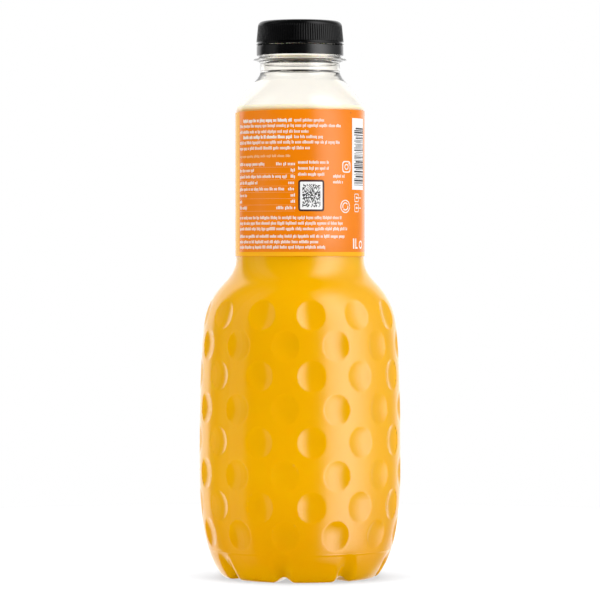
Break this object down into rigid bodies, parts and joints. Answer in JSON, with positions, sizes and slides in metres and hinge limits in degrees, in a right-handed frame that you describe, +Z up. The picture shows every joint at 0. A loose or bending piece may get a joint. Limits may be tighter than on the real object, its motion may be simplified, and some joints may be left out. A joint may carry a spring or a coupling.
{
  "type": "juice bottle",
  "caption": "Full one litre clear plastic juice bottle with a dimpled round body, narrow label waist, black ribbed screw cap and orange juice.",
  "frame": {"origin": "middle of the base, on the plane that the feet stand on", "axes": "+Z up along the bottle's axis to the cap; -Y faces the viewer, the side of the label that carries the small print; +X is that viewer's right"},
  "size_m": [0.0924, 0.0924, 0.2551],
  "materials": {
    "clear_plastic": "clear, thin, glossy blown plastic",
    "orange_juice": "cloudy orange juice",
    "orange_film": "printed film, half gloss",
    "black_plastic": "moulded black plastic, half gloss"
  },
  "bodies": {
    "root": {"bottle": "clear_plastic", "juice": "orange_juice", "label": "orange_film", "cap": "black_plastic"}
  },
  "joints": []
}
